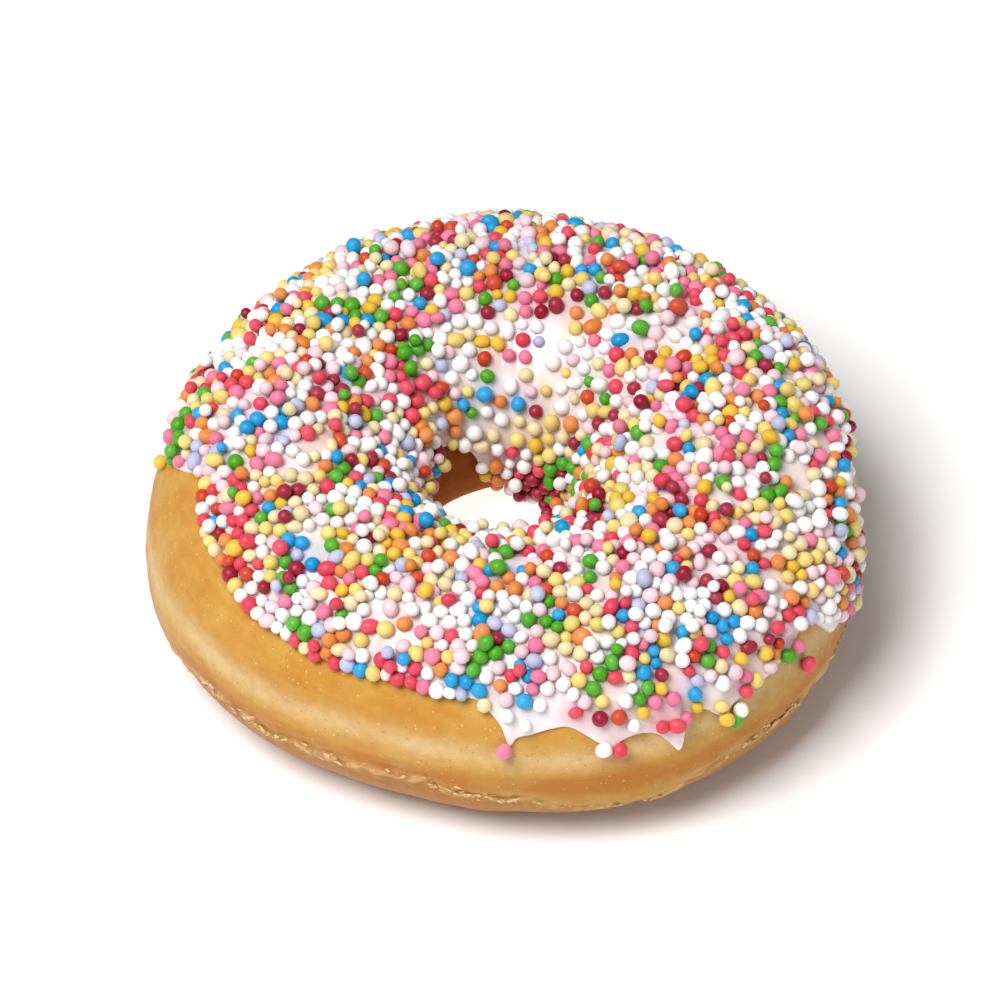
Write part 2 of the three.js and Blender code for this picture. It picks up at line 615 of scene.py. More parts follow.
@dataclass(frozen=True)
class SugarShell:
    """The satin sugar coat of the balls of one colour."""

    colour: SugarColour
    deepest: float = 0.78
    palest: float = 0.8
    fading: float = 0.05

    def material(self, mottling: bpy.types.NodeTree) -> bpy.types.Material:
        """The balls' material.

        Args:
            mottling: the group of cloudy patches.

        Returns:
            The material, which reads the tone that each ball keeps.
        """
        material, graph, shader = new_material(f"sugar_{self.colour.label}")
        base = (*self.colour.colour, 1)
        deep = (*(c * self.deepest for c in self.colour.colour), 1)
        faded = (*(c + (self.palest - c) * self.fading for c in self.colour.colour), 1)
        toned = graph.mix(graph.attribute("tone"), deep, faded)
        patches = graph.group(mottling, Scale=1300.0, Contrast=1.8)
        colour = graph.mix(graph.spread(patches.outputs[0], 0, 1, 0.0, 0.6), toned, base)
        graph.feed(shader.inputs["Base Color"], colour)
        graph.feed(shader.inputs["Roughness"], graph.spread(patches.outputs[0], 0, 1, 0.30, 0.46))
        graph.feed(shader.inputs["Normal"], graph.bump(patches.outputs["Height"], 0.05 * MM, 0.5))
        shader.inputs["Specular IOR Level"].default_value = 0.28
        shader.inputs["Subsurface Weight"].default_value = 0.35
        shader.inputs["Subsurface Radius"].default_value = (1.0, 0.9, 0.8)
        shader.inputs["Subsurface Scale"].default_value = 0.5 * MM
        return material


# ---------------------------------------------------------------- dough


@dataclass
class DoughRing:
    """The ring of fried dough."""

    form: RingForm
    finish: FriedDough
    directions: int = 460
    slopes: int = 208
    slope_crowding: float = 26.0
    proof_slope: float = 13.0
    proof_width: float = 6.0
    proof_depth: float = 0.25
    crease: Rim = Rim((
        (0, -9), (40, -7), (80, -10), (120, -6), (160, -9), (185, -13), (198, -12), (211, -6), (220, -7),
        (230, -7), (240, -6), (249, -6), (262, -10), (269, -11), (275, -16), (281, -21), (288, -27),
        (297, -14), (310, -9), (330, -12),
    ))
    crease_depth: float = 0.3

    def _grid(self) -> tuple[np.ndarray, np.ndarray]:
        """Where the mesh's points lie, finest round the outer side.

        Returns:
            The direction and the slope of each point.
        """
        even = np.linspace(0, 360, self.slopes, endpoint=False)
        slope = even - self.slope_crowding * np.sin(np.radians(even))
        direction = np.linspace(0, 360, self.directions, endpoint=False)
        return np.meshgrid(direction, slope, indexing="ij")

    def crease_slope(self, direction: np.ndarray) -> np.ndarray:
        """The slope at which the bottom crust starts: a ragged line that dips once at the front.

        Args:
            direction: angles round the hole's axis.

        Returns:
            A slope for each direction.
        """
        line = self.form.point(direction, np.full(direction.shape, -8.0))
        return self.crease.slope(direction) + 2.6 * noise_at(line, 3.0, 6.4) + 1.3 * noise_at(line, 1.1, 5.2)

    def build(self, mottling: bpy.types.NodeTree, speckles: bpy.types.NodeTree) -> bpy.types.Object:
        """Makes the dough.

        Args:
            mottling: the group of cloudy patches.
            speckles: the group of small spots.

        Returns:
            The dough's object.
        """
        direction, slope = self._grid()
        base = self.form.point(direction, slope)
        signed = (slope + 180) % 360 - 180
        past_crease = signed - self.crease_slope(direction[:, 0])[:, None]
        ragged = smooth_step(noise_at(base, 2.2, 8.8) + 0.5 * noise_at(base, 0.9, 9.1), -0.25, 0.35)
        proof = bell(signed + 3 * noise_at(base, 15, 4.4), self.proof_slope, self.proof_width)
        turned = np.radians(direction)
        streaks = noise_at(np.stack((10 * np.cos(turned), 10 * np.sin(turned), slope / 3), -1), 1.0, 12.5)
        shreds = smooth_step(streaks + 0.6 * (ragged - 0.5), -0.25, 0.3)
        torn = bell(past_crease, -2.8, 4.2) * (0.2 + 0.8 * shreds)
        crust = smooth_step(-past_crease, 1.5, 6.0)
        relief = (
            0.20 * noise_at(base, 7.0, 1.7)
            + 0.06 * noise_at(base, 2.6, 3.9)
            + 0.03 * noise_at(base, 1.2, 2.6)
            - self.proof_depth * proof
            - self.crease_depth * bell(past_crease, 0, 2.6)
            + 0.45 * bell(past_crease, -2.0, 2.6) * (ragged - 0.4)
            + 0.16 * bell(past_crease, -2.8, 4.2) * streaks
            - 0.15 * crust
        )
        relief *= np.clip(base[..., 2] / 1.5, 0, 1)
        points = self.form.above(direction, slope, relief)
        points[..., 2] = np.maximum(points[..., 2], 0)
        piece = quad_piece("fried_dough_ring", points, ring_quads(self.directions, self.slopes))
        # Painted shade: a darker band on the dough just below the icing's edge, added into the browning mask.
        painted_shade_under_icing = bell(signed, 30, 14)
        side = bell(signed, -4, 5.5)
        # The pale proof line's mask, which also carries a painted sheen along the ridge.
        store_value(piece, "proof_line_and_sheen", np.clip(proof * (0.85 + 0.4 * noise_at(base, 6, 7.7)), 0, 1) * 0.9)
        store_value(piece, "crust", crust * 0.85)
        store_value(piece, "torn", np.clip(torn, 0, 1) * 0.85)
        browning_and_icing_shade = 0.16 + 0.15 * painted_shade_under_icing + 0.85 * side + 0.25 * streaks
        store_value(piece, "browning_and_icing_shade", np.clip(browning_and_icing_shade, 0, 1))
        # Painted shade: a mask over the hole's side, where the colour is darkened for the shade inside the
        # hole.
        store_value(piece, "painted_hole_shade", smooth_step(np.abs(signed), 120, 158) * 0.95)
        piece.data.materials.append(self.finish.material(mottling, speckles))
        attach(piece, BODY)
        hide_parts("dough_ring")
        return piece


@dataclass
class CrustFlakes:
    """Thin pale flakes where the dough tore along the crease."""

    dough: DoughRing
    count: int = 420
    half_sizes: tuple[float, float, float] = (0.29, 0.19, 0.028)
    spread: float = 1.5
    raggedness: float = 0.22
    seed: int = 3

    def build(self) -> bpy.types.Object:
        """Makes all the flakes as one joined mesh.

        Returns:
            The flakes' object.
        """
        rng = np.random.default_rng(self.seed)
        turn = rng.uniform(0, 360, self.count * 3)
        line = self.dough.form.point(turn, np.full(turn.shape, -8.0))
        wanted = noise_at(line, 9.0, 3.3) + rng.normal(0, 0.25, turn.shape)
        turn = turn[np.argsort(-wanted)[: self.count]]
        slope = self.dough.crease_slope(turn) + rng.normal(-1.0, self.spread, turn.shape)
        foot = self.dough.form.above(turn, slope, rng.uniform(-0.06, 0.08, turn.shape))
        foot[:, 2] = np.maximum(foot[:, 2], 0.4)
        normal = self.dough.form.normal(turn, slope)
        around = self.dough.form.tangents(turn, slope)[0]
        around /= np.linalg.norm(around, axis=1, keepdims=True)
        normal = normal + rng.normal(0, self.raggedness, normal.shape)
        around = around + rng.normal(0, 0.25, around.shape)
        over = np.cross(normal, around)
        over /= np.linalg.norm(over, axis=1, keepdims=True)
        normal /= np.linalg.norm(normal, axis=1, keepdims=True)
        around = np.cross(over, normal)
        axes = np.stack((around, over, normal), 1)
        unit, quads = cube_sphere(3)
        sizes = np.array(self.half_sizes) * rng.uniform(0.4, 1.8, (self.count, 1))
        sizes = sizes * rng.uniform(0.7, 1.3, (self.count, 3))
        leaf = np.sign(unit) * np.abs(unit) ** np.array((1.0, 2.2, 1.0))
        shaped = leaf[None] * sizes[:, None]
        crumple = 1 + 0.8 * noise_at(unit[None] * 1.3 + turn[:, None, None], 1.0, 2.2)
        shaped = shaped * crumple[..., None]
        shaped[..., 2] += 0.12 * noise_at(shaped + turn[:, None, None], 0.5, 6.1)
        points = shaped @ axes + foot[:, None]
        points[..., 2] = np.maximum(points[..., 2], 0.0)
        faces = quads[None] + (np.arange(self.count) * len(unit))[:, None, None]
        piece = quad_piece("crust_flakes", points, faces.reshape(-1, 4))
        material, graph, shader = new_material("torn_crust")
        store_value(piece, "tone", np.repeat(rng.random(self.count), len(unit)))
        colour = graph.mix(graph.attribute("tone"), (0.56, 0.31, 0.095, 1), (0.72, 0.50, 0.25, 1))
        graph.feed(shader.inputs["Base Color"], colour)
        shader.inputs["Roughness"].default_value = 0.6
        piece.data.materials.append(material)
        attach(piece, BODY)
        return piece


# ---------------------------------------------------------------- icing


@dataclass
class IcingCoat:
    """The coat of icing, with runs on its outer rim and one side of the hole coated to the underside."""

    form: RingForm
    finish: WhiteIcing
    outer_rim: Rim = Rim((
        (8, 22), (22, 25), (45, 28), (70, 23), (95, 27), (120, 22), (145, 27), (164, 29), (174, 34),
        (181, 46), (188, 61), (193, 57), (200, 53), (208, 51), (216, 46), (224, 44), (233, 41), (240, 42),
        (248, 43), (256, 42), (262, 41), (264.8, 35), (266.4, 29), (267.4, 21), (268.6, 25), (271, 27),
        (274, 29.5), (277, 30), (279.5, 25.5), (281.5, 20.5), (283.2, 17.5), (285, 20.5), (288, 21.5),
        (290.4, 18.5), (292, 12), (293.2, 6.5), (294.2, 12), (295, 21), (298, 22.5), (300, 17), (301.3, 13),
        (303, 17), (307, 18.5), (311, 19), (315, 21), (319, 24), (321.8, 25), (323.6, 17), (326, 7), (329, 5),
        (336, 3), (339.5, 10), (344, 22), (351, 25),
    ))
    hole_rim: Rim = Rim((
        (5, 196), (28, 206), (52, 216), (75, 216), (90, 210), (98, 202), (106, 187), (113, 175), (125, 167),
        (138, 165), (150, 169), (168, 171), (192, 174), (225, 170), (260, 178), (300, 174), (335, 186),
    ))
    thickness: float = 1.05
    lip_height: float = 0.42
    lip_width: float = 0.4
    rise_width: float = 5.0
    sunk: float = -0.3
    pool: tuple[float, float] = (54.0, 198.0)
    pool_depth: float = 1.1
    pool_width: float = 24.0
    directions: int = 900
    edge_steps: tuple[float, ...] = (0.0, 0.05, 0.13, 0.25, 0.4, 0.7, 1.1, 1.6, 2.3, 3.2, 4.2)
    middle_rows: int = 46
    seat_rows: int = 16
    degrees_per_mm: float = 3.5

    def height(self, direction: np.ndarray, slope: np.ndarray) -> np.ndarray:
        """How high the icing's top lies above the dough.

        Args:
            direction: angles round the hole's axis.
            slope: angles round the section.

        Returns:
            The height at each place: 0 on the rims, and most in the pool on the hole's side.
        """
        outer = slope - self.outer_rim.slope(direction)
        inner = self.hole_rim.slope(direction) - slope
        from_rim = np.maximum(np.minimum(outer, inner), 0) / self.degrees_per_mm
        lip = np.sqrt(1 - (1 - np.clip(from_rim / self.lip_width, 0, 1)) ** 2)
        rise = smooth_step(from_rim, 0, self.rise_width)
        turn = (direction - self.pool[0] + 180) % 360 - 180
        pool = self.pool_depth * bell(turn, 0, self.pool_width) * bell(slope, self.pool[1], 14)
        return self.lip_height * lip + (self.thickness - self.lip_height + pool) * rise

    def _rows(self, outer: np.ndarray, hole: np.ndarray) -> np.ndarray:
        """The slopes of the top's rows, crowded along both rims.

        Args:
            outer: the outer rim's slope in each direction.
            hole: the hole's rim's slope in each direction.

        Returns:
            A row of slopes for each direction.
        """
        edge = np.array(self.edge_steps) * self.degrees_per_mm
        first = outer[:, None] + edge
        last = hole[:, None] - edge[::-1]
        share = np.linspace(0, 1, self.middle_rows + 2)[1:-1]
        middle = first[:, -1:] + (last[:, :1] - first[:, -1:]) * share
        return np.concatenate((first, middle, last), 1)

    def build(self, balls: "Balls", mottling: bpy.types.NodeTree) -> bpy.types.Object:
        """Makes the icing round the balls that stick in it.

        Args:
            balls: the sugar balls.
            mottling: the group of cloudy patches.

        Returns:
            The icing's object.
        """
        turn = np.linspace(0, 360, self.directions, endpoint=False)
        outer, hole = self.outer_rim.slope(turn), self.hole_rim.slope(turn)
        top_slope = self._rows(outer, hole)
        top_turn = np.broadcast_to(turn[:, None], top_slope.shape)
        base = self.form.point(top_turn, top_slope)
        height = self.height(top_turn, top_slope)
        height = height + 0.12 * noise_at(base, 6.0, 11.3) * smooth_step(height, 0.3, 1.2)
        top = self.form.above(top_turn, top_slope, height)
        meniscus, tint = balls.marks_on(top)
        top = self.form.above(top_turn, top_slope, height + meniscus * smooth_step(height, 0.1, 0.5))
        share = np.linspace(1, 0, self.seat_rows)
        seat_slope = outer[:, None] + (hole - outer)[:, None] * share
        seat_turn = np.broadcast_to(turn[:, None], seat_slope.shape)
        seat = self.form.above(seat_turn, seat_slope, self.sunk)
        points = np.concatenate((top, seat), 1)
        piece = quad_piece("icing_coat", points, ring_quads(self.directions, points.shape[1]))
        seat_tint = np.ones((*seat_slope.shape, 3))
        store_colour(piece, "tint", np.concatenate((tint, seat_tint), 1).reshape(-1, 3))
        piece.data.materials.append(self.finish.material(mottling))
        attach(piece, BODY)
        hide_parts("icing")
        return piece


# ---------------------------------------------------------------- sprinkles


@dataclass(frozen=True)
class Patch:
    """A part of the icing where the balls lie closer or thinner than elsewhere."""

    direction: float
    slope: float
    direction_width: float
    slope_width: float
    change: float

    def amount(self, direction: np.ndarray, slope: np.ndarray) -> np.ndarray:
        """How much the patch changes the coverage.

        Args:
            direction: angles round the hole's axis.
            slope: angles round the section.

        Returns:
            The change at each place.
        """
        turn = (direction - self.direction + 180) % 360 - 180
        return self.change * bell(turn, 0, self.direction_width) * bell(slope, self.slope, self.slope_width)


@dataclass(frozen=True)
class Clump:
    """A place where most balls have one colour."""

    direction: float
    slope: float
    reach: float
    colour: SugarColour
    share: float = 0.8


@dataclass(frozen=True)
class Stray:
    """One ball at a chosen place, such as the end of a run or the bare dough."""

    direction: float
    slope: float
    colour: SugarColour
    sink: float = 0.1


@dataclass
class Balls:
    """Where the sugar balls lie, how big they are and what colours they have."""

    centre: np.ndarray
    radius: np.ndarray
    colour: list[SugarColour]
    climb_height: float = 0.16
    climb_reach: float = 0.22
    stain_reach: float = 1.7
    unstained: float = 0.35

    def marks_on(self, points: np.ndarray) -> tuple[np.ndarray, np.ndarray]:
        """What the balls do to the icing's surface.

        Args:
            points: points of the surface.

        Returns:
            How far the icing climbs at each point, and the tint that the balls give it there.
        """
        tree = kdtree.KDTree(len(self.centre))
        for i, place in enumerate(self.centre):
            tree.insert(place, i)
        tree.balance()
        shades = np.array([c.colour for c in self.colour])
        climb = np.zeros(points.shape[:-1]).ravel()
        tint = np.ones((climb.size, 3))
        for k, place in enumerate(points.reshape(-1, 3)):
            near = tree.find_n(place, 3)
            gap = near[0][2] - self.radius[near[0][1]]
            climb[k] = self.climb_height * math.exp(-max(gap, 0) / self.climb_reach)
            weights = np.array([math.exp(-((n[2] / self.stain_reach) ** 2)) for n in near])
            colours = shades[[n[1] for n in near]]
            tint[k] = (weights @ colours + self.unstained) / (weights.sum() + self.unstained)
        return climb.reshape(points.shape[:-1]), tint.reshape(points.shape)


@dataclass
class SprinkleScatter:
    """Scatters sugar balls over the icing: one layer pushed apart, and more heaped in its pockets."""

    form: RingForm
    icing: IcingCoat
    mean_radius: float = 0.84
    radius_spread: float = 0.085
    sink: float = 0.36
    sink_spread: float = 0.09
    coverage: float = 0.76
    clumping: float = 0.2
    patches: tuple[Patch, ...] = (
        Patch(66, 150, 52, 36, -0.40),
        Patch(48, 188, 20, 14, 0.15),
        Patch(279, 26, 18, 14, -0.26),
    )
    clumps: tuple[Clump, ...] = (
        Clump(175, 48, 4.0, SugarColour.GREEN),
        Clump(177, 85, 3.4, SugarColour.BLUE, 0.5),
        Clump(129, 122, 3.2, SugarColour.GREEN, 0.5),
        Clump(133, 149, 3.0, SugarColour.CREAM, 0.5),
        Clump(52, 194, 5.0, SugarColour.CRIMSON, 0.35),
        Clump(38, 179, 3.4, SugarColour.GREEN, 0.4),
        Clump(266, 60, 2.4, SugarColour.GREEN, 0.6),
        Clump(284, 54, 2.4, SugarColour.GREEN, 0.5),
        Clump(20, 96, 3.6, SugarColour.YELLOW, 0.35),
        Clump(90, 76, 2.8, SugarColour.BLUE, 0.35),
    )
    drowned: tuple[Patch, ...] = (
        Patch(147, 102, 9, 14, 0.55),
        Patch(20, 96, 9, 14, 0.6),
        Patch(45, 112, 12, 12, 0.3),
    )
    strays: tuple[Stray, ...] = (
        Stray(266.6, 19.5, SugarColour.PINK),
        Stray(281.8, 18.5, SugarColour.WHITE),
        Stray(284.2, 17.0, SugarColour.CORAL),
        Stray(291.0, 23.5, SugarColour.CORAL),
        Stray(293.0, 22.5, SugarColour.CORAL),
        Stray(301.0, 14.5, SugarColour.YELLOW),
        Stray(302.6, 10.5, SugarColour.GREEN),
        Stray(303.8, 14.0, SugarColour.WHITE),
        Stray(318.2, 9.0, SugarColour.CORAL, 0.05),
        Stray(317.2, 21.0, SugarColour.PINK),
        Stray(176.0, 34.5, SugarColour.YELLOW),
    )
    thin_spacing: float = 0.7
    settling_rounds: int = 60
    heaped: int = 520
    heap_limit: float = 1.3
    bare_runs: float = 281.0
    beaded_rim: tuple[float, float] = (192.0, 262.0)
    rim_beads: int = 26
    copying: float = 0.09
    seed: int = 11
    rng: np.random.Generator = field(init=False)

    def __post_init__(self) -> None:
        """Starts the seeded random draws."""
        self.rng = np.random.default_rng(self.seed)

    def covered(self, direction: np.ndarray, slope: np.ndarray) -> np.ndarray:
        """The share of the icing that the first layer hides.

        Args:
            direction: angles round the hole's axis.
            slope: angles round the section.

        Returns:
            The share at each place.
        """
        change = sum(p.amount(direction, slope) for p in self.patches)
        return np.clip(self.coverage + change, 0.05, 0.82)

    def _sinks(self, direction: np.ndarray, slope: np.ndarray) -> np.ndarray:
        """How deep each ball sinks: deeper where they lie thin.

        Args:
            direction: where each ball fell.
            slope: where each ball fell.

        Returns:
            Each ball's depth, as a share of its radius.
        """
        bare = 1 - self.covered(direction, slope) / self.coverage
        drawn = self.sink + self.rng.normal(0, self.sink_spread, direction.shape) + 0.3 * bare
        drawn = drawn + sum(p.amount(direction, slope) for p in self.drowned)
        return np.clip(drawn, 0.1, 1.0)

    def _cells(self) -> tuple[np.ndarray, np.ndarray, np.ndarray]:
        """Small cells of the icing, on which balls can fall.

        Returns:
            The cells' directions, slopes and areas.
        """
        direction, slope = np.meshgrid(np.arange(0.5, 360), np.arange(-8.5, 215), indexing="ij")
        around, over = self.form.tangents(direction, slope)
        area = np.linalg.norm(np.cross(around, over), axis=-1)
        above_rim = slope > self.icing.outer_rim.slope(direction) + self._rim_margin(direction)
        inside = above_rim & (slope < self.icing.hole_rim.slope(direction) - 1)
        return direction[inside], slope[inside], area[inside]

    def _draw(self, count: int, weights: np.ndarray, cells: tuple) -> tuple[np.ndarray, np.ndarray]:
        """Random places in cells picked by weight.

        Args:
            count: how many places.
            weights: how likely each cell is.
            cells: the cells' directions, slopes and areas.

        Returns:
            The places' directions and slopes.
        """
        picked = self.rng.choice(len(weights), count, p=weights / weights.sum())
        jitter = self.rng.uniform(-0.5, 0.5, (2, count))
        return cells[0][picked] + jitter[0], cells[1][picked] + jitter[1]

    def _radii(self, count: int) -> np.ndarray:
        """Random radii."""
        return self.mean_radius + np.clip(self.rng.normal(0, self.radius_spread, count), -0.18, 0.18)

    def _place(self, direction: np.ndarray, slope: np.ndarray, lift: np.ndarray) -> np.ndarray:
        """Points at a height above the icing's top."""
        return self.form.above(direction, slope, self.icing.height(direction, slope) + lift)

    def _rim_margin(self, direction: np.ndarray) -> np.ndarray:
        """How far in degrees the balls stay from the outer rim: further over the bare ends of the runs."""
        return 0.8 + 6.5 * bell((direction - self.bare_runs + 180) % 360 - 180, 0, 11)

    def _keep_on_icing(self, direction: np.ndarray, slope: np.ndarray) -> np.ndarray:
        """Slopes moved back onto the icing, with a little overhang allowed.

        Args:
            direction: angles round the hole's axis.
            slope: angles round the section.

        Returns:
            The slopes between the icing's rims.
        """
        outer = self.icing.outer_rim.slope(direction) + self._rim_margin(direction)
        hole = self.icing.hole_rim.slope(direction) - 1.5
        return np.clip(slope, outer, hole)

    def _settle(
        self, direction: np.ndarray, slope: np.ndarray, radius: np.ndarray, lift: np.ndarray
    ) -> tuple[np.ndarray, np.ndarray]:
        """Pushes balls that overlap apart, along the surface. Where they lie thin, they also keep some room.

        Args:
            direction: where each ball fell.
            slope: where each ball fell.
            radius: the balls' radii.
            lift: how high their middles lie above the icing.

        Returns:
            The directions and slopes at which they come to lie.
        """
        bare = np.clip(1 - self.covered(direction, slope) / self.coverage, 0, 1)
        room = radius * (0.985 + self.thin_spacing * bare)
        for turn in range(self.settling_rounds):
            centre = self._place(direction, slope, lift)
            if turn % 6 == 0:
                first, second = close_pairs(centre, 3.2)
            gap = centre[first] - centre[second]
            distance = np.linalg.norm(gap, axis=1) + 1e-6
            overlap = np.clip(room[first] + room[second] - distance, 0, None)
            step = gap / distance[:, None] * (0.45 * overlap)[:, None]
            push = np.zeros_like(centre)
            np.add.at(push, first, step)
            np.add.at(push, second, -step)
            around, over = self.form.tangents(direction, slope)
            direction = direction + (push * around).sum(1) / (around**2).sum(1)
            slope = self._keep_on_icing(direction, slope + (push * over).sum(1) / (over**2).sum(1))
        return direction, slope

    def _heap(self, centre: np.ndarray, radius: np.ndarray, cells: tuple) -> tuple[np.ndarray, np.ndarray]:
        """Drops more balls one by one, each into the lowest pocket near where it lands.

        Args:
            centre: the middles of the balls that lie there already.
            radius: their radii.
            cells: the cells' directions, slopes and areas.

        Returns:
            The middles and the radii of all the balls.
        """
        behind = bell((cells[0] - 90 + 180) % 360 - 180, 0, 75)
        weights = cells[2] * np.clip((self.covered(cells[0], cells[1]) - 0.64) / 0.1, 0, 1)
        weights *= smooth_step(cells[1], 20 + 45 * behind, 40 + 45 * behind)
        direction, slope = self._draw(self.heaped, weights, cells)
        sizes = self._radii(self.heaped)
        reach = np.linspace(-1, 1, 7)
        centres, radii = list(centre), list(radius)
        for turn, lean, size in zip(direction, slope, sizes):
            around, over = self.form.tangents(np.array([turn]), np.array([lean]))
            turns = turn + np.repeat(reach, 7) / np.linalg.norm(around)
            leans = lean + np.tile(reach, 7) / np.linalg.norm(over)
            leans = self._keep_on_icing(turns, leans)
            foot = self._place(turns, leans, np.zeros(49))
            normal = self.form.normal(turns, leans)
            others = np.array(centres)
            near = np.nonzero(((others - foot[24]) ** 2).sum(1) < 25)[0]
            gap = others[near][None] - foot[:, None]
            along = (gap * normal[:, None]).sum(2)
            contact = size + np.array(radii)[near][None]
            square = contact**2 - ((gap**2).sum(2) - along**2)
            rest = np.where(square > 0, along + np.sqrt(np.maximum(square, 0)), -9).max(1, initial=-9)
            rest = np.maximum(rest, size * (1 - self.sink))
            best = int(np.argmin(rest))
            if rest[best] - size * (1 - self.sink) < self.heap_limit:
                centres.append(foot[best] + normal[best] * rest[best])
                radii.append(size)
        return np.array(centres), np.array(radii)

    def _colours(self, centre: np.ndarray) -> list[SugarColour]:
        """Draws each ball's colour, sometimes copied from a neighbour, and follows the clumps.

        Args:
            centre: the balls' middles.

        Returns:
            A colour for each ball.
        """
        kinds = list(SugarColour)
        shares = np.array([k.share for k in kinds], float)
        drawn = self.rng.choice(len(kinds), len(centre), p=shares / shares.sum())
        copies = self.rng.random(len(centre)) < self.copying
        first, second = close_pairs(centre, 2.1)
        for low, high in zip(first, second):
            if copies[high]:
                drawn[high] = drawn[low]
                copies[high] = False
        for clump in self.clumps:
            middle = self.form.above(np.array([clump.direction]), np.array([clump.slope]), 2.5)
            inside = np.linalg.norm(centre - middle, axis=1) < clump.reach
            chosen = inside & (self.rng.random(len(centre)) < clump.share)
            drawn[chosen] = kinds.index(clump.colour)
        return [kinds[k] for k in drawn]

    def scatter(self) -> Balls:
        """Places all the balls.

        Returns:
            The balls.
        """
        cells = self._cells()
        weights = cells[2] * self.covered(cells[0], cells[1])
        count = int(weights.sum() / (math.pi * self.mean_radius**2))
        weights = weights * (1 + self.clumping * noise_at(self.form.point(cells[0], cells[1]), 5.5, 4.7))
        direction, slope = self._draw(count - self.rim_beads, weights, cells)
        beads = self.rng.uniform(*self.beaded_rim, self.rim_beads)
        direction = np.concatenate((direction, beads))
        slope = np.concatenate((slope, self.icing.outer_rim.slope(beads) + 1))
        radius = self._radii(count)
        lift = radius * (1 - self._sinks(direction, slope))
        direction, slope = self._settle(direction, slope, radius, lift)
        centre = self._place(direction, slope, lift)
        centre, radius = self._heap(centre, radius, cells)
        centre, radius, colours = self._add_strays(centre, radius)
        log.info("%d balls in the first layer and %d in all", count, len(centre))
        return Balls(centre, radius, colours)

    def _add_strays(
        self, centre: np.ndarray, radius: np.ndarray
    ) -> tuple[np.ndarray, np.ndarray, list[SugarColour]]:
        """Puts the chosen balls in, in place of the drawn ones that they would overlap.

        Args:
            centre: the drawn balls' middles.
            radius: their radii.

        Returns:
            The middles, the radii and the colours of all the balls.
        """
        turn = np.array([k.direction for k in self.strays])
        lean = np.array([k.slope for k in self.strays])
        sinks = np.array([k.sink for k in self.strays])
        size = np.full(turn.shape, self.mean_radius + 0.04)
        on_icing = lean > self.icing.outer_rim.slope(turn)
        ground = np.where(on_icing, self.icing.height(turn, lean), 0)
        places = self.form.above(turn, lean, ground + size * (1 - sinks))
        gaps = np.linalg.norm(centre[:, None] - places[None], axis=2)
        kept = (gaps > 1.9 * self.mean_radius).all(1)
        centre, radius = centre[kept], radius[kept]
        colours = self._colours(centre) + [k.colour for k in self.strays]
        return np.concatenate((centre, places)), np.concatenate((radius, size)), colours


def close_pairs(points: np.ndarray, reach: float) -> tuple[np.ndarray, np.ndarray]:
    """The pairs of points that lie within a distance of each other.

    Args:
        points: the points.
        reach: the distance.

    Returns:
        The numbers of each pair's first and second point.
    """
    square = (points**2).sum(1)
    distance = square[:, None] + square[None] - 2 * points @ points.T
    return np.nonzero(np.triu(distance < reach**2, 1))


def cube_sphere(cuts: int) -> tuple[np.ndarray, np.ndarray]:
    """A unit ball of quads.

    Args:
        cuts: how many quads lie along each edge of the cube that the ball is blown up from.

    Returns:
        The points, and four point numbers for each face.
    """
    steps = np.tan(np.linspace(-1, 1, cuts + 1) * math.pi / 4)
    u, v = (a.ravel() for a in np.meshgrid(steps, steps, indexing="ij"))
    one = np.ones_like(u)
    sides = [(one, u, v), (-one, v, u), (v, one, u), (u, -one, v), (u, v, one), (v, u, -one)]
    points = np.concatenate([np.stack(side, 1) for side in sides])
    i, j = (a.ravel() for a in np.meshgrid(np.arange(cuts), np.arange(cuts), indexing="ij"))
    row = cuts + 1
    face = np.stack((i * row + j, (i + 1) * row + j, (i + 1) * row + j + 1, i * row + j + 1), 1)
    quads = np.concatenate([face + side * row * row for side in range(6)])
    points, index = np.unique(points.round(9), axis=0, return_inverse=True)
    points = points / np.linalg.norm(points, axis=1, keepdims=True)
    return points, index.ravel()[quads]


@dataclass
class Sprinkles:
    """The meshes of the sugar balls, one piece for each colour."""

    balls: Balls
    cuts: int = 4
    unevenness: float = 0.05
    oblong_share: float = 0.3
    seed: int = 5

    def build(self, mottling: bpy.types.NodeTree) -> list[bpy.types.Object]:
        """Makes one joined mesh for each colour.

        Args:
            mottling: the group of cloudy patches.

        Returns:
            The pieces.
        """
        rng = np.random.default_rng(self.seed)
        unit, quads = cube_sphere(self.cuts)
        count = len(self.balls.centre)
        stretch = 1 + rng.normal(0, self.unevenness, (count, 3))
        oblong = rng.random(count) < self.oblong_share
        stretch[oblong, 0] *= rng.uniform(1.08, 1.36, oblong.sum())
        turns = np.array([Matrix.Rotation(a, 3, Vector(axis)) for a, axis in zip(
            rng.uniform(0, 6.28, count), rng.normal(0, 1, (count, 3)))])
        tone = rng.random(count)
        pieces = []
        for kind in SugarColour:
            mine = [i for i, c in enumerate(self.balls.colour) if c is kind]
            shaped = unit[None] * (stretch[mine] * self.balls.radius[mine, None])[:, None]
            points = shaped @ turns[mine].transpose(0, 2, 1) + self.balls.centre[mine][:, None]
            faces = quads[None] + (np.arange(len(mine)) * len(unit))[:, None, None]
            piece = quad_piece(f"sugar_balls_{kind.label}", points, faces.reshape(-1, 4))
            store_value(piece, "tone", np.repeat(tone[mine], len(unit)))
            piece.data.materials.append(SugarShell(kind).material(mottling))
            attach(piece, BODY)
            log.info("%s: %d balls", piece.name, len(mine))
            pieces.append(piece)
        return pieces


# ---------------------------------------------------------------- studio


@dataclass(frozen=True)
class Lamp:
    """A square light: where it stands, its sides and its power in watts."""

    name: str
    place: tuple[float, float, float]
    size: float
    power: float


